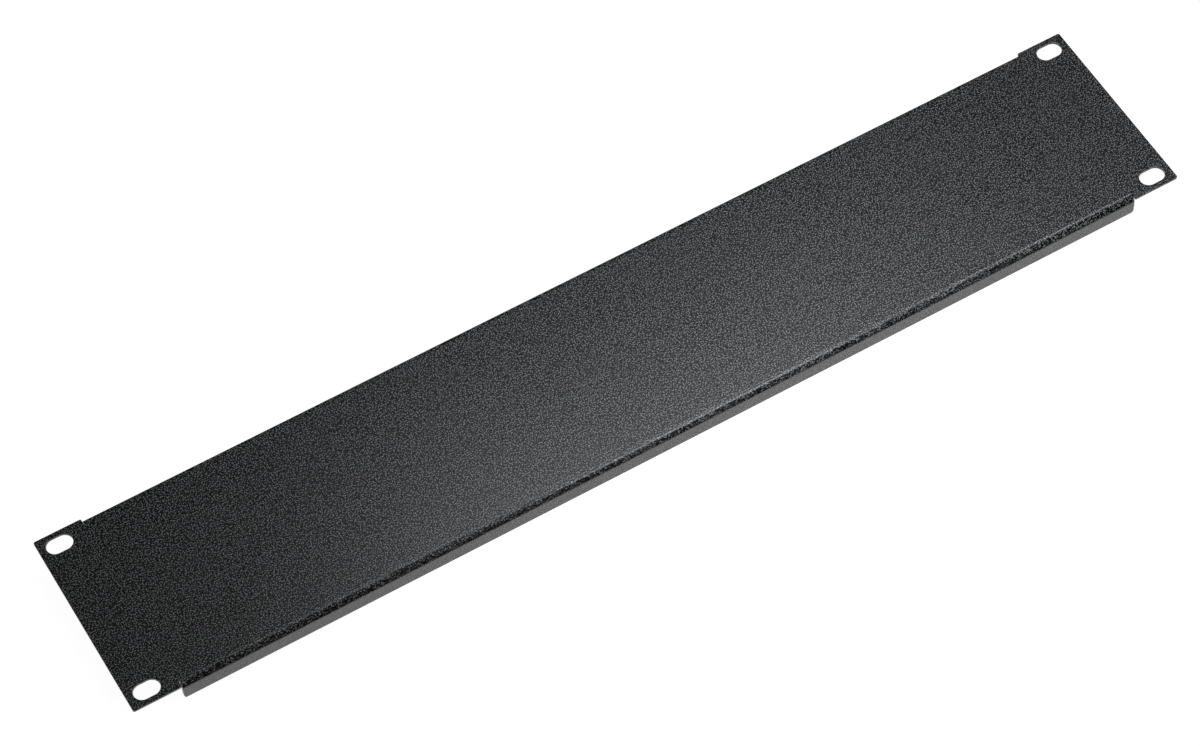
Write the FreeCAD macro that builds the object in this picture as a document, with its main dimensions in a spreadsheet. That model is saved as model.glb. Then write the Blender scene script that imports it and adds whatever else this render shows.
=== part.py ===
"""Flanged blanking panel for a 19-inch rack, two units high, folded from one sheet.

The panel lies face up on the free edges of its two flanges. X runs along its length, Y up
the panel, Z out of the front face. The origin is the middle of the four screw slots, on the
rear face of the ears, the face that meets the rack rails. Lengths are in millimetres.
"""
import FreeCAD
import Part
import math
import os

import Sketcher

SHEET = "sizes"

SIZES = {
    "panel_width": (482.6, "overall length across both ears"),
    "panel_height": (88.1, "height of the ears, two rack units less the gap"),
    "sheet": (1.5, "sheet thickness"),
    "ear_length": (21.1, "end of the panel to the end of a flange"),
    "flange_depth": (10.0, "front face to free edge of a flange"),
    "fold_radius": (1.5, "inside radius of the folds"),
    "fold_step": (0.2, "how far a flange lies inside the edge of the ears"),
    "relief": (0.15, "width of the cut that frees a fold from the ear beside it"),
    "flange_corner": (1.8, "radius on the free corners of the flanges"),
    "slot_from_end": (8.75, "middle of a slot to the end of the panel"),
    "slot_from_edge": (5.95, "middle of a slot to the long edge of the ear"),
    "slot_length": (11.2, "screw slot, end to end"),
    "slot_width": (7.5, "screw slot, across"),
    "ear_corner": (0.8, "radius on the outer corners of the ears"),
    "ear_shoulder": (0.6, "radius where an ear ends beside a fold"),
    "rim": (0.3, "rounding of the cut edges on the front face and the free edges"),
    "deburr": (0.2, "chamfer on the cut edges of the rear face"),
}
SIZE = {name: entry[0] for name, entry in SIZES.items()}

# Places on the panel that several features share.
HALF_WIDTH = SIZE["panel_width"] / 2
HALF_HEIGHT = SIZE["panel_height"] / 2
HALF_FLANGE = HALF_WIDTH - SIZE["ear_length"]
EAR_START = HALF_FLANGE + SIZE["relief"]
SLOT_X = HALF_WIDTH - SIZE["slot_from_end"]
SLOT_Y = HALF_HEIGHT - SIZE["slot_from_edge"]
FREE_EDGE = SIZE["sheet"] - SIZE["flange_depth"]
FLANGE_FACE = HALF_HEIGHT - SIZE["fold_step"]
NEAR = 1e-4
QUARTER = math.pi / 2

# The same places as formulas on the sheet of sizes.
FOLD_LINE_AT = "panel_height / 2 - fold_step - fold_radius - sheet"
FLANGE_END_AT = "panel_width / 2 - ear_length"
EAR_START_AT = FLANGE_END_AT + " + relief"
SLOT_X_AT = "panel_width / 2 - slot_from_end"
SLOT_Y_AT = "panel_height / 2 - slot_from_edge"


def on_sheet(formula):
    """Return the formula with every size named on the sheet."""
    for name in SIZES:
        formula = formula.replace(name, SHEET + "." + name)
    return formula


def make_sheet(doc):
    """Write the sizes into a sheet, one row each, with the name as alias."""
    sheet = doc.addObject("Spreadsheet::Sheet", SHEET)
    for row, (name, (value, meaning)) in enumerate(SIZES.items(), start=1):
        sheet.set("A%d" % row, name)
        sheet.set("B%d" % row, str(value))
        sheet.set("C%d" % row, meaning)
        sheet.setAlias("B%d" % row, name)
    doc.recompute()
    return sheet


def origin_feature(body, role):
    """Return the body's own plane or axis that has this role."""
    return next(f for f in body.Origin.OriginFeatures if f.Role == role)


def new_sketch(body, name, role):
    """Return an empty sketch on one of the body's own planes."""
    sketch = body.newObject("Sketcher::SketchObject", name)
    sketch.AttachmentSupport = [(origin_feature(body, role), "")]
    sketch.MapMode = "FlatFace"
    return sketch


def vec(x, y):
    """Return a sketch point."""
    return FreeCAD.Vector(x, y, 0)


def arc(centre, radius, start, end):
    """Return an arc in the sketch plane between two angles."""
    circle = Part.Circle(centre, FreeCAD.Vector(0, 0, 1), radius)
    return Part.ArcOfCircle(circle, start, end)


def constrain(sketch, kind, *where):
    """Add one geometric constraint."""
    sketch.addConstraint(Sketcher.Constraint(kind, *where))


def measure(sketch, name, kind, where, value, formula):
    """Add one named dimension that follows a formula on the sheet of sizes."""
    index = sketch.addConstraint(Sketcher.Constraint(kind, *where, value))
    sketch.renameConstraint(index, name)
    sketch.setExpression("Constraints." + name, on_sheet(formula))


def draw_box(sketch, low, high):
    """Draw four joined lines as a box and return the number of the first one."""
    corners = [vec(*low), vec(high[0], low[1]), vec(*high), vec(low[0], high[1])]
    first = sketch.GeometryCount
    for i in range(4):
        line = Part.LineSegment(corners[i], corners[(i + 1) % 4])
        sketch.addGeometry(line, False)
    for i in range(4):
        constrain(sketch, "Coincident", first + i, 2, first + (i + 1) % 4, 1)
        constrain(sketch, "Horizontal" if i % 2 == 0 else "Vertical", first + i)
    return first


def pad(body, name, sketch, formula, midplane=False):
    """Pad a sketch by a length from the sheet of sizes."""
    feature = body.newObject("PartDesign::Pad", name)
    feature.Profile = sketch
    feature.setExpression("Length", on_sheet(formula))
    if midplane:
        feature.SideType = "Symmetric"
    body.Document.recompute()
    return feature


def mirror(body, name, source, role):
    """Mirror a feature in one of the body's own planes."""
    feature = body.newObject("PartDesign::Mirrored", name)
    feature.Originals = [source]
    feature.MirrorPlane = (origin_feature(body, role), [""])
    body.Tip = feature
    body.Document.recompute()
    return feature


def dress_edges(body, kind, name, wanted, size_name):
    """Fillet or chamfer the edges of the tip for which wanted(edge) holds."""
    base = body.Tip
    picked = [
        "Edge%d" % (i + 1)
        for i, edge in enumerate(base.Shape.Edges)
        if wanted(edge)
    ]
    if not picked:
        raise RuntimeError("no edges found for " + name)
    feature = body.newObject("PartDesign::" + kind, name)
    feature.Base = (base, picked)
    size = "Radius" if kind == "Fillet" else "Size"
    feature.setExpression(size, SHEET + "." + size_name)
    body.Document.recompute()
    return feature


def runs_along(edge, axis):
    """Tell whether the edge is straight along one axis, 0, 1 or 2."""
    box = edge.BoundBox
    lengths = [box.XLength, box.YLength, box.ZLength]
    along = lengths.pop(axis)
    return along > NEAR and max(lengths) < NEAR


def upright_at(edge, x, y):
    """Tell whether the edge stands through the sheet at plus or minus x and y."""
    middle = edge.BoundBox.Center
    there = abs(abs(middle.x) - x) < NEAR and abs(abs(middle.y) - y) < NEAR
    return there and runs_along(edge, 2)


def make_plate(body):
    """The flat face between the fold lines, with an ear at either end."""
    web_outline = new_sketch(body, "web_outline", "XY_Plane")
    fold_line = FLANGE_FACE - SIZE["fold_radius"] - SIZE["sheet"]
    web_low = (-EAR_START, -fold_line)
    web_high = (EAR_START, fold_line)
    box = draw_box(web_outline, web_low, web_high)
    constrain(web_outline, "Symmetric", box, 1, box + 2, 1, -1, 1)
    measure(web_outline, "length", "DistanceX", (box, 1, box, 2),
            2 * EAR_START, "2 * (" + EAR_START_AT + ")")
    measure(web_outline, "height", "DistanceY", (box + 1, 1, box + 1, 2),
            2 * fold_line, "2 * (" + FOLD_LINE_AT + ")")
    pad(body, "web", web_outline, "sheet")

    ear_outline = new_sketch(body, "ear_outline", "XY_Plane")
    ear_low = (EAR_START, -HALF_HEIGHT)
    ear_high = (HALF_WIDTH, HALF_HEIGHT)
    box = draw_box(ear_outline, ear_low, ear_high)
    measure(ear_outline, "start", "DistanceX", (-1, 1, box, 1),
            EAR_START, EAR_START_AT)
    measure(ear_outline, "end", "DistanceX", (-1, 1, box, 2),
            HALF_WIDTH, "panel_width / 2")
    measure(ear_outline, "top", "DistanceY", (-1, 1, box + 1, 2),
            HALF_HEIGHT, "panel_height / 2")
    measure(ear_outline, "height", "DistanceY", (box + 1, 1, box + 1, 2),
            SIZE["panel_height"], "panel_height")
    ear = pad(body, "ear", ear_outline, "sheet")
    mirror(body, "ears", ear, "YZ_Plane")
    dress_edges(body, "Fillet", "ear_corners",
                lambda e: upright_at(e, HALF_WIDTH, HALF_HEIGHT), "ear_corner")
    dress_edges(body, "Fillet", "ear_shoulders",
                lambda e: upright_at(e, EAR_START, HALF_HEIGHT), "ear_shoulder")


def make_slots(body):
    """Four round-ended screw slots through the ears."""
    outline = new_sketch(body, "slot_outline", "XY_Plane")
    radius = SIZE["slot_width"] / 2
    reach = (SIZE["slot_length"] - SIZE["slot_width"]) / 2
    middle = vec(-SLOT_X, -SLOT_Y)
    left = middle - vec(reach, 0)
    right = middle + vec(reach, 0)
    up = vec(0, radius)
    end_left = outline.addGeometry(arc(left, radius, QUARTER, 3 * QUARTER), False)
    below = outline.addGeometry(Part.LineSegment(left - up, right - up), False)
    end_right = outline.addGeometry(arc(right, radius, -QUARTER, QUARTER), False)
    above = outline.addGeometry(Part.LineSegment(right + up, left + up), False)
    constrain(outline, "Tangent", end_left, 2, below, 1)
    constrain(outline, "Tangent", below, 2, end_right, 1)
    constrain(outline, "Tangent", end_right, 2, above, 1)
    constrain(outline, "Tangent", above, 2, end_left, 1)
    constrain(outline, "Horizontal", below)
    constrain(outline, "Equal", end_left, end_right)
    measure(outline, "round", "Radius", (end_left,), radius, "slot_width / 2")
    measure(outline, "reach", "DistanceX", (end_left, 3, end_right, 3),
            2 * reach, "slot_length - slot_width")
    measure(outline, "across", "DistanceX", (end_left, 3, -1, 1),
            SLOT_X + reach, SLOT_X_AT + " + (slot_length - slot_width) / 2")
    measure(outline, "up", "DistanceY", (end_left, 3, -1, 1),
            SLOT_Y, SLOT_Y_AT)
    before = body.Tip.Shape.Volume
    slot = body.newObject("PartDesign::Pocket", "slot")
    slot.Profile = outline
    slot.Type = "ThroughAll"
    slot.Reversed = True
    body.Document.recompute()
    if not slot.Shape.Volume < before - 1:
        raise RuntimeError("the slot does not cut the ear")

    slots = body.newObject("PartDesign::MultiTransform", "slots")
    across = body.newObject("PartDesign::LinearPattern", "slots_across")
    up_panel = body.newObject("PartDesign::LinearPattern", "slots_up")
    across.Direction = (origin_feature(body, "X_Axis"), [""])
    across.Occurrences = 2
    across.setExpression("Length", on_sheet("2 * (" + SLOT_X_AT + ")"))
    up_panel.Direction = (origin_feature(body, "Y_Axis"), [""])
    up_panel.Occurrences = 2
    up_panel.setExpression("Length", on_sheet("2 * (" + SLOT_Y_AT + ")"))
    slots.Originals = [slot]
    slots.Transformations = [across, up_panel]
    body.Tip = slots
    body.Document.recompute()


def make_flanges(body):
    """Two flanges folded back along the top and bottom of the web."""
    profile = new_sketch(body, "fold_profile", "YZ_Plane")
    inner = SIZE["fold_radius"]
    outer = inner + SIZE["sheet"]
    fold_line = FLANGE_FACE - outer
    centre = vec(fold_line, -inner)
    outside = profile.addGeometry(arc(centre, outer, 0, QUARTER), False)
    inside = profile.addGeometry(arc(centre, inner, 0, QUARTER), False)
    rim = SIZE["rim"]
    back_x, front_x = fold_line + inner, fold_line + outer
    rim_back = profile.addGeometry(
        arc(vec(back_x + rim, FREE_EDGE + rim), rim, 2 * QUARTER, 3 * QUARTER), False)
    rim_front = profile.addGeometry(
        arc(vec(front_x - rim, FREE_EDGE + rim), rim, -QUARTER, 0), False)
    lines = [
        (vec(fold_line, SIZE["sheet"]), vec(fold_line, 0)),
        (vec(back_x, -inner), vec(back_x, FREE_EDGE + rim)),
        (vec(back_x + rim, FREE_EDGE), vec(front_x - rim, FREE_EDGE)),
        (vec(front_x, FREE_EDGE + rim), vec(front_x, -inner)),
    ]
    web_end, back, free_edge, front = [
        profile.addGeometry(Part.LineSegment(a, b), False) for a, b in lines
    ]
    constrain(profile, "Coincident", outside, 2, web_end, 1)
    constrain(profile, "Coincident", web_end, 2, inside, 2)
    constrain(profile, "Tangent", inside, 1, back, 1)
    constrain(profile, "Tangent", back, 2, rim_back, 1)
    constrain(profile, "Tangent", rim_back, 2, free_edge, 1)
    constrain(profile, "Tangent", free_edge, 2, rim_front, 1)
    constrain(profile, "Tangent", rim_front, 2, front, 1)
    constrain(profile, "Tangent", front, 2, outside, 1)
    constrain(profile, "Coincident", outside, 3, inside, 3)
    constrain(profile, "Vertical", web_end)
    constrain(profile, "Vertical", inside, 3, web_end, 2)
    constrain(profile, "Vertical", back)
    constrain(profile, "Vertical", front)
    constrain(profile, "Equal", rim_back, rim_front)
    constrain(profile, "PointOnObject", web_end, 2, -1)
    measure(profile, "inside_radius", "Radius", (inside,), inner, "fold_radius")
    measure(profile, "rim_radius", "Radius", (rim_back,), rim, "rim")
    measure(profile, "thickness", "DistanceX", (back, 2, front, 1),
            SIZE["sheet"], "sheet")
    measure(profile, "depth", "DistanceY", (free_edge, 1, -1, 1),
            -FREE_EDGE, "flange_depth - sheet")
    measure(profile, "fold_line", "DistanceX", (-1, 1, outside, 3),
            fold_line, FOLD_LINE_AT)
    flange = pad(body, "flange", profile, "2 * (" + FLANGE_END_AT + ")", midplane=True)
    mirror(body, "flanges", flange, "XZ_Plane")


def make_flange_corners(body):
    """Round the free corners of both flanges with one cut at either end."""
    outline = new_sketch(body, "corner_outline", "XZ_Plane")
    radius = SIZE["flange_corner"]
    centre = vec(HALF_FLANGE - radius, FREE_EDGE + radius)
    below = centre - vec(0, radius)
    beside = centre + vec(radius, 0)
    low = vec(centre.x, below.y - radius)
    far = vec(beside.x + radius, low.y)
    high = vec(far.x, centre.y)
    turn = outline.addGeometry(arc(centre, radius, -QUARTER, 0), False)
    down, under, outside, across = [
        outline.addGeometry(Part.LineSegment(a, b), False)
        for a, b in ((below, low), (low, far), (far, high), (high, beside))
    ]
    constrain(outline, "Coincident", turn, 1, down, 1)
    constrain(outline, "Coincident", down, 2, under, 1)
    constrain(outline, "Coincident", under, 2, outside, 1)
    constrain(outline, "Coincident", outside, 2, across, 1)
    constrain(outline, "Coincident", across, 2, turn, 2)
    constrain(outline, "Vertical", down)
    constrain(outline, "Horizontal", under)
    constrain(outline, "Vertical", outside)
    constrain(outline, "Horizontal", across)
    constrain(outline, "Vertical", turn, 3, turn, 1)
    constrain(outline, "Horizontal", turn, 3, turn, 2)
    measure(outline, "radius", "Radius", (turn,), radius, "flange_corner")
    measure(outline, "end", "DistanceX", (-1, 1, turn, 2),
            HALF_FLANGE, FLANGE_END_AT)
    measure(outline, "depth", "DistanceY", (turn, 1, -1, 1),
            -FREE_EDGE, "flange_depth - sheet")
    measure(outline, "drop", "DistanceY", (down, 2, down, 1), radius, "flange_corner")
    measure(outline, "reach", "DistanceX", (across, 2, across, 1), radius, "flange_corner")
    before = body.Tip.Shape.Volume
    corner = body.newObject("PartDesign::Pocket", "corner")
    corner.Profile = outline
    corner.Type = "ThroughAll"
    corner.SideType = "Symmetric"
    body.Document.recompute()
    if not corner.Shape.Volume < before - 1:
        raise RuntimeError("the corner cut misses the flanges")
    mirror(body, "corners", corner, "YZ_Plane")


def is_cut_rim(edge, height):
    """Tell whether the edge, at this height, goes round a slot or the outside of an ear."""
    box = edge.BoundBox
    if box.ZLength > NEAR or abs(box.Center.z - height) > NEAR:
        return False
    from_slot_x = abs(abs(box.Center.x) - SLOT_X)
    from_slot_y = abs(abs(box.Center.y) - SLOT_Y)
    if from_slot_x < SIZE["slot_length"] / 2 and from_slot_y < SIZE["slot_width"] / 2 + NEAR:
        return True
    on_ear = min(abs(box.XMin), abs(box.XMax)) > EAR_START - NEAR
    far_x = max(abs(box.XMin), abs(box.XMax)) > HALF_WIDTH - SIZE["ear_corner"] / 2
    far_y = max(abs(box.YMin), abs(box.YMax)) > HALF_HEIGHT - NEAR
    return on_ear and (far_x or far_y)


def make_cut_rims(body):
    """Round the cut edges of the ears and slots in front and deburr them behind."""
    dress_edges(body, "Fillet", "front_rims", lambda e: is_cut_rim(e, SIZE["sheet"]), "rim")
    dress_edges(body, "Chamfer", "rear_rims", lambda e: is_cut_rim(e, 0), "deburr")


def export(doc, body):
    """Check every object and write the panel."""
    doc.recompute()
    for item in doc.Objects:
        if "Invalid" in item.State or "Error" in item.State:
            raise RuntimeError(item.Name + " is in state " + str(item.State))
        if hasattr(item, "Shape") and item.isDerivedFrom("PartDesign::Feature"):
            if item.Shape.isNull() and "slots_" not in item.Name:
                raise RuntimeError(item.Name + " has no shape")
    shape = body.Shape
    if shape.isNull() or not shape.isValid():
        raise RuntimeError(body.Label + " is not a valid shape")
    if len(shape.Solids) != 1:
        raise RuntimeError(body.Label + " has %d solids" % len(shape.Solids))
    os.makedirs("parts", exist_ok=True)
    shape.exportStep("parts/" + body.Label + ".step")
    box = shape.BoundBox
    print("%s: volume %.0f mm3, size %.2f x %.2f x %.2f mm, lowest %.2f" % (
        body.Label, shape.Volume, box.XLength, box.YLength, box.ZLength, box.ZMin))


def main():
    """Build the panel."""
    doc = FreeCAD.newDocument("rack_blanking_panel")
    make_sheet(doc)
    body = doc.addObject("PartDesign::Body", "blanking_panel")
    body.Label = "blanking_panel"
    make_plate(body)
    make_slots(body)
    make_cut_rims(body)
    make_flanges(body)
    make_flange_corners(body)
    export(doc, body)


main()
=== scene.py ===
"""A flanged rack blanking panel in black textured powder coat, on a white studio floor.

The panel lies face up on the free edges of its flanges. X runs along its length, Y up the
panel and Z out of the front face. Every length is in metres.
"""
import logging
import math
from dataclasses import dataclass, field
from enum import Enum

import bpy
from mathutils import Matrix, Vector


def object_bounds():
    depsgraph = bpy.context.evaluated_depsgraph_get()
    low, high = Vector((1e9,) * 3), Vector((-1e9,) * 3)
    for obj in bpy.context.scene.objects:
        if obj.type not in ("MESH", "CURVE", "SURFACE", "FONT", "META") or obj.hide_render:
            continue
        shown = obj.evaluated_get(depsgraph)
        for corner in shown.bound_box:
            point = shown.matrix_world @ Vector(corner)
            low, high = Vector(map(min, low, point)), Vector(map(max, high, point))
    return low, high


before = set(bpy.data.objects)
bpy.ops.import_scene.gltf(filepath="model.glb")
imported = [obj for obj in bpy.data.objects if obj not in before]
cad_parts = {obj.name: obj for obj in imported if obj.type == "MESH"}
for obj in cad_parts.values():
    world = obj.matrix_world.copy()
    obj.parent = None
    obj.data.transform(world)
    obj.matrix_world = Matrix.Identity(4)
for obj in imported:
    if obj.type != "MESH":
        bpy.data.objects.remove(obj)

CAD_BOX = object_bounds()
LOG = logging.getLogger("blanking_panel")

Colour = tuple[float, float, float]
Point = tuple[float, float, float]
Span = tuple[float, float]

MM = 0.001
COOL: Colour = (0.96, 0.975, 1.0)
BLACK: Colour = (0.004, 0.004, 0.004)


class Ray(Enum):
    """The kinds of ray that see a white background."""

    CAMERA = "Is Camera Ray"
    GLOSSY = "Is Glossy Ray"
    TRANSMISSION = "Is Transmission Ray"


SHOWN_WHITE = (Ray.CAMERA, Ray.GLOSSY, Ray.TRANSMISSION)


class Nodes:
    """A material's node tree, with short calls to add and join nodes."""

    def __init__(self, tree: bpy.types.NodeTree) -> None:
        """Empty the tree and keep it.

        Args:
            tree: The node tree of a material or a world.
        """
        self.tree = tree
        tree.nodes.clear()

    def add(self, kind: str, **values: object) -> bpy.types.Node:
        """Add a node and set its properties.

        Args:
            kind: The node's type name, without the ShaderNode at its start.
            **values: Properties of the node, by name.

        Returns:
            The new node.
        """
        node = self.tree.nodes.new("ShaderNode" + kind)
        for name, value in values.items():
            setattr(node, name, value)
        return node

    def join(self, source: bpy.types.NodeSocket, target: bpy.types.NodeSocket) -> None:
        """Link an output to an input."""
        self.tree.links.new(source, target)

    def feed(self, target: bpy.types.NodeSocket, value: object) -> None:
        """Link a socket into an input, or set the input's own value.

        Args:
            target: The input to fill.
            value: An output socket, or a number or a colour.
        """
        if isinstance(value, bpy.types.NodeSocket):
            self.join(value, target)
        else:
            target.default_value = value

    def math(self, operation: str, *values: object) -> bpy.types.NodeSocket:
        """Add a Math node and return its result.

        Args:
            operation: The node's operation, such as ADD.
            *values: Its inputs, as sockets or numbers.

        Returns:
            The result's socket.
        """
        node = self.add("Math", operation=operation)
        for target, value in zip(node.inputs, values):
            self.feed(target, value)
        return node.outputs[0]

    def noise(self, place: bpy.types.NodeSocket, size: float, detail: float = 2.0,
              roughness: float = 0.5) -> bpy.types.NodeSocket:
        """Add a noise of a given size on the object and return its value.

        Args:
            place: Object coordinates.
            size: Distance from lump to lump.
            detail: How many finer layers are added.
            roughness: How strong the finer layers are.

        Returns:
            The noise's value, about 0.5 in the middle.
        """
        node = self.add("TexNoise")
        self.join(place, node.inputs["Vector"])
        node.inputs["Scale"].default_value = 1 / size
        node.inputs["Detail"].default_value = detail
        node.inputs["Roughness"].default_value = roughness
        return node.outputs["Fac"]

    def spread(self, value: object, low: float, high: float, out_low: float = 0.0,
               out_high: float = 1.0) -> bpy.types.NodeSocket:
        """Map a range of a value onto another range, smoothly, and return the result.

        Args:
            value: The value to map.
            low: Its low end.
            high: Its high end.
            out_low: The result at the low end.
            out_high: The result at the high end.

        Returns:
            The result's socket.
        """
        node = self.add("MapRange", interpolation_type="SMOOTHSTEP")
        for target, given in zip(node.inputs, (value, low, high, out_low, out_high)):
            self.feed(target, given)
        return node.outputs["Result"]

    def bump(self, height: bpy.types.NodeSocket, depth: float,
             strength: float = 1.0) -> bpy.types.NodeSocket:
        """Add a Bump node and return the bent normal.

        Args:
            height: The relief, from 0 to 1.
            depth: How high the relief stands.
            strength: How much of it shows.

        Returns:
            The normal's socket.
        """
        node = self.add("Bump")
        node.inputs["Strength"].default_value = strength
        node.inputs["Distance"].default_value = depth
        self.join(height, node.inputs["Height"])
        return node.outputs["Normal"]

    def seen_by(self, *rays: Ray) -> bpy.types.NodeSocket:
        """Return 1 for the rays named and 0 for all others.

        Args:
            *rays: The kinds of ray.

        Returns:
            The flag's socket.
        """
        path = self.add("LightPath")
        flag = path.outputs[rays[0].value]
        for ray in rays[1:]:
            flag = self.math("MAXIMUM", flag, path.outputs[ray.value])
        return flag


def start_material(name: str) -> tuple[bpy.types.Material, Nodes]:
    """Make an empty node material.

    Args:
        name: The material's name.

    Returns:
        The material, and its nodes.
    """
    material = bpy.data.materials.new(name)
    material.use_nodes = True
    return material, Nodes(material.node_tree)


@dataclass(frozen=True)
class PowderCoat:
    """Black polyester powder coat with a fine texture, baked on to the folded sheet.

    The tops of the grain carry a painted highlight, a lighter colour that stands in for the
    light the grain catches, and are a little glossier than the ground between them.
    """

    name: str = "powder_coat"
    colour: Colour = (0.0040, 0.0044, 0.0042)
    # Lighter colour of the grain tops: a painted highlight, in place of the light caught by the
    # grain relief.
    painted_highlight_colour: Colour = (0.51, 0.518, 0.530)
    painted_highlight_range: Span = (0.562, 0.622)
    roughness: Span = (0.30, 0.25)
    roughness_range: Span = (0.34, 0.66)
    refraction: float = 1.7
    grain: float = 0.52 * MM
    grain_detail: float = 0.5
    grain_height: float = 0.015 * MM
    drift: float = 45 * MM
    drift_detail: float = 3.0
    drift_roughness: float = 0.55
    drift_range: Span = (0.3, 0.7)
    drift_gloss: float = 0.012
    offset: Point = (0.371, 0.529, 0.713)

    def make(self) -> bpy.types.Material:
        """Build the material.

        Returns:
            The new material.
        """
        material, nodes = start_material(self.name)
        shift = nodes.add("Mapping")
        shift.inputs["Location"].default_value = self.offset
        nodes.join(nodes.add("TexCoord").outputs["Object"], shift.inputs["Vector"])
        place = shift.outputs["Vector"]
        relief = nodes.noise(place, self.grain, self.grain_detail)
        cloud = nodes.noise(place, self.drift, self.drift_detail, self.drift_roughness)

        # Painted highlight: the relief mixes the grain tops towards the lighter colour.
        painted_highlight = nodes.add("Mix", data_type="RGBA")
        nodes.join(nodes.spread(relief, *self.painted_highlight_range), painted_highlight.inputs["Factor"])
        painted_highlight.inputs["A"].default_value = (*self.colour, 1)
        painted_highlight.inputs["B"].default_value = (*self.painted_highlight_colour, 1)

        gloss = nodes.spread(relief, *self.roughness_range, *self.roughness)
        drift = nodes.spread(cloud, *self.drift_range, -self.drift_gloss, self.drift_gloss)
        gloss = nodes.math("ADD", gloss, drift)

        shader = nodes.add("BsdfPrincipled")
        shader.inputs["IOR"].default_value = self.refraction
        nodes.join(painted_highlight.outputs["Result"], shader.inputs["Base Color"])
        nodes.join(gloss, shader.inputs["Roughness"])
        nodes.join(nodes.bump(relief, self.grain_height), shader.inputs["Normal"])
        output = nodes.add("OutputMaterial")
        nodes.join(shader.outputs["BSDF"], output.inputs["Surface"])
        return material


@dataclass(frozen=True)
class MattStuff:
    """Matt paper, card or cloth of the studio, with an even glow."""

    name: str
    colour: Colour
    fibre: float
    fibre_detail: float = 2.0
    fibre_roughness: float = 0.5
    fibre_height: float = 0.05 * MM
    fibre_strength: float = 0.1
    glow: float = 0.0
    glow_rays: tuple[Ray, ...] = ()

    def make(self) -> bpy.types.Material:
        """Build the material.

        Returns:
            The new material.
        """
        material, nodes = start_material(self.name)
        place = nodes.add("TexCoord").outputs["Object"]
        fibre = nodes.noise(place, self.fibre, self.fibre_detail, self.fibre_roughness)
        matt = nodes.add("BsdfDiffuse")
        matt.inputs["Color"].default_value = (*self.colour, 1)
        nodes.join(nodes.bump(fibre, self.fibre_height, self.fibre_strength),
                   matt.inputs["Normal"])
        glow = nodes.add("Emission")
        glow.inputs["Strength"].default_value = self.glow
        if self.glow_rays:
            shown = nodes.seen_by(*self.glow_rays)
            nodes.join(nodes.math("MULTIPLY", shown, self.glow), glow.inputs["Strength"])
        both = nodes.add("AddShader")
        nodes.join(matt.outputs["BSDF"], both.inputs[0])
        nodes.join(glow.outputs["Emission"], both.inputs[1])
        output = nodes.add("OutputMaterial")
        nodes.join(both.outputs["Shader"], output.inputs["Surface"])
        return material


WHITE_PAPER = MattStuff(
    "studio_paper", (0.3, 0.3, 0.3), 1.2 * MM, fibre_detail=3.0, fibre_roughness=0.6,
    fibre_strength=0.05, glow=0.97, glow_rays=SHOWN_WHITE)
BLACK_CARD = MattStuff("black_card", BLACK, 2.0 * MM)
DARK_ROOM = MattStuff("dark_room", BLACK, 2.0 * MM, glow=0.03)


@dataclass
class Panel:
    """The folded sheet, with its ears, slots and flanges."""

    node: str = "blanking_panel"
    coat: PowderCoat = field(default_factory=PowderCoat)

    def dress(self) -> bpy.types.Object:
        """Give the sheet its coat.

        Returns:
            The sheet's object.
        """
        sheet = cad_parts[self.node]
        sheet.data.materials.clear()
        sheet.data.materials.append(self.coat.make())
        return sheet


@dataclass
class Lamp:
    """One soft rectangular lamp."""

    name: str
    place: Point
    target: Point
    size: Span
    power: float
    colour: Colour = COOL

    def make(self) -> bpy.types.Object:
        """Add the lamp.

        Returns:
            The lamp's object.
        """
        data = bpy.data.lights.new(self.name, "AREA")
        data.shape = "RECTANGLE"
        data.size, data.size_y = self.size
        data.energy = self.power
        data.color = self.colour
        lamp = bpy.data.objects.new(self.name, data)
        lamp.location = self.place
        aim = Vector(self.target) - Vector(self.place)
        lamp.rotation_euler = aim.to_track_quat("-Z", "Y").to_euler()
        lamp.visible_camera = False
        bpy.context.scene.collection.objects.link(lamp)
        return lamp


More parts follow.
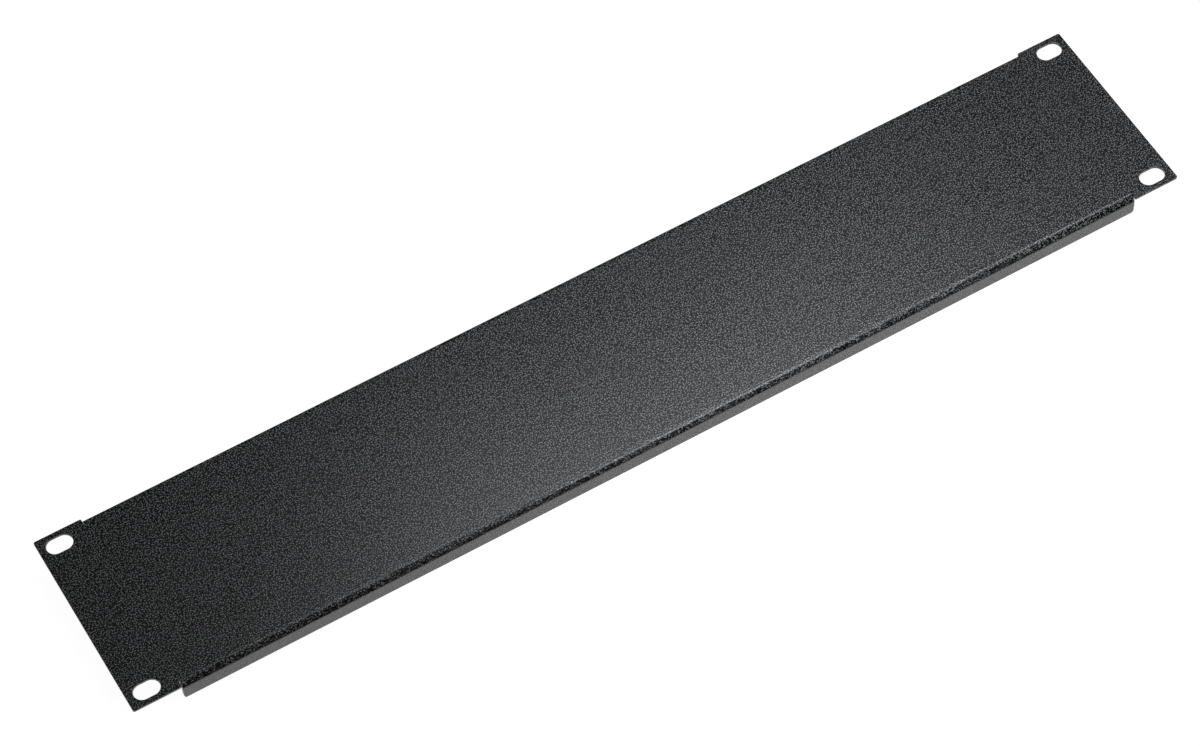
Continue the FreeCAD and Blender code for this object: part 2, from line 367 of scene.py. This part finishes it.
@dataclass
class Studio:
    """The white floor, the dark card and room that the coat mirrors, the world and the lamps."""

    floor_size: float = 8.0
    floor_drop: float = 0.05 * MM
    world_light: float = 0.03
    paper: MattStuff = WHITE_PAPER
    card: MattStuff = BLACK_CARD
    card_gap: float = 8 * MM
    card_width: float = 500 * MM
    room_size: float = 7.0
    room_sink: float = 0.1
    room_height: float = 3.0
    room: MattStuff = DARK_ROOM
    lamps: tuple[Lamp, ...] = (
        Lamp("rear_softbox", (0.12, 0.18, 0.62), (0.07, -0.03, 0.0), (0.25, 0.2), 0.365),
        Lamp("rear_right_softbox", (0.295, 0.18, 0.62), (0.07, -0.03, 0.0), (0.25, 0.2), 0.15),
        Lamp("near_softbox", (0.08, -0.12, 0.22), (0.06, -0.05, 0.0), (0.15, 0.1), 0.182),
        Lamp("right_softbox", (0.22, -0.10, 0.30), (0.18, -0.05, 0.0), (0.15, 0.1), 0.049),
        Lamp("left_strip", (0.0, -0.03, 0.80), (-0.15, -0.044, 0.0), (0.25, 0.05), 0.15),
        Lamp("right_strip", (0.50, 0.085, 0.80), (0.18, -0.044, 0.0), (0.20, 0.05), 0.49),
    )

    def lay_floor(self, height: float) -> bpy.types.Object:
        """Lay the floor under the panel.

        Args:
            height: The panel's lowest point.

        Returns:
            The floor's object.
        """
        bpy.ops.object.select_all(action="DESELECT")
        bpy.ops.mesh.primitive_plane_add(size=self.floor_size)
        floor = bpy.context.active_object
        floor.name = "studio_floor"
        floor.data.transform(Matrix.Translation((0, 0, height - self.floor_drop)))
        floor.data.materials.append(self.paper.make())
        return floor

    def lay_card(self, height: float) -> bpy.types.Object:
        """Lay a black card with a window round the panel, for the folds to mirror.

        Args:
            height: The panel's lowest point.

        Returns:
            The card's object.
        """
        low, high = (Vector(corner) for corner in CAD_BOX)
        bpy.ops.object.select_all(action="DESELECT")
        bpy.ops.mesh.primitive_plane_add(size=1)
        card = bpy.context.active_object
        card.name = "black_card"
        window = Vector((high.x - low.x, high.y - low.y)) + Vector((2, 2)) * self.card_gap
        sheet = window + Vector((2, 2)) * self.card_width
        grow = Matrix.Diagonal((sheet.x, sheet.y, 1, 1))
        lift = Matrix.Translation((0, 0, height))
        card.data.transform(lift @ grow)
        bpy.ops.object.mode_set(mode="EDIT")
        bpy.ops.mesh.inset(thickness=self.card_width)
        bpy.ops.mesh.delete(type="FACE")
        bpy.ops.object.mode_set(mode="OBJECT")
        card.data.materials.append(self.card.make())
        self.show_in_gloss_alone(card)
        return card

    def build_room(self, height: float) -> bpy.types.Object:
        """Stand the dark room round the set, for the coat to mirror.

        Args:
            height: The panel's lowest point.

        Returns:
            The room's object, four walls and a ceiling.
        """
        bpy.ops.object.select_all(action="DESELECT")
        bpy.ops.mesh.primitive_cube_add(size=1)
        room = bpy.context.active_object
        room.name = "dark_room"
        lift = Matrix.Translation((0, 0, height - self.room_sink + self.room_height / 2))
        grow = Matrix.Diagonal((self.room_size, self.room_size, self.room_height, 1))
        room.data.transform(lift @ grow)
        room.data.materials.append(self.room.make())
        self.show_in_gloss_alone(room)
        return room

    @staticmethod
    def show_in_gloss_alone(thing: bpy.types.Object) -> None:
        """Let only glossy rays see a thing."""
        thing.visible_camera = False
        thing.visible_diffuse = False
        thing.visible_shadow = False
        thing.visible_transmission = False
        thing.visible_volume_scatter = False

    def light_world(self) -> None:
        """Light the object evenly, and show white where a ray misses everything."""
        world = bpy.data.worlds.new("studio_world")
        world.use_nodes = True
        nodes = Nodes(world.node_tree)
        sky = nodes.add("Background")
        shown = nodes.seen_by(*SHOWN_WHITE)
        strength = nodes.add("Mix", data_type="FLOAT")
        nodes.join(shown, strength.inputs["Factor"])
        strength.inputs["A"].default_value = self.world_light
        strength.inputs["B"].default_value = 1.0
        nodes.join(strength.outputs["Result"], sky.inputs["Strength"])
        output = nodes.add("OutputWorld")
        nodes.join(sky.outputs["Background"], output.inputs["Surface"])
        bpy.context.scene.world = world

    def build(self, height: float) -> None:
        """Set up the floor, the card, the room, the world and the lamps.

        Args:
            height: The panel's lowest point.
        """
        self.lay_floor(height)
        self.lay_card(height)
        self.build_room(height)
        self.light_world()
        for lamp in self.lamps:
            lamp.make()


@dataclass
class PhotoCamera:
    """The camera, where the photograph was taken from."""

    place: Point = (-0.43072, -0.81664, 1.38436)
    target: Point = (-0.01085, -0.00346, 0.0015)
    roll: float = math.radians(-3.481)
    lens: float = 123.884
    sensor: float = 36.0

    def make(self) -> bpy.types.Object:
        """Add the camera and make it the scene's own.

        Returns:
            The camera's object.
        """
        data = bpy.data.cameras.new("photo_camera")
        data.lens = self.lens
        data.sensor_width = self.sensor
        camera = bpy.data.objects.new("photo_camera", data)
        aim = (Vector(self.target) - Vector(self.place)).to_track_quat("-Z", "Y")
        turn = aim.to_matrix() @ Matrix.Rotation(self.roll, 3, "Z")
        camera.location = self.place
        camera.rotation_euler = turn.to_euler()
        bpy.context.scene.collection.objects.link(camera)
        bpy.context.scene.camera = camera
        return camera


def main() -> None:
    """Dress the panel and set up the studio round it."""
    logging.basicConfig(level=logging.INFO)
    bpy.context.scene.view_settings.view_transform = "Standard"
    sheet = Panel().dress()
    LOG.info("dressed %s", sheet.name)
    Studio().build(CAD_BOX[0].z)
    PhotoCamera().make()


if __name__ == "__main__":
    main()
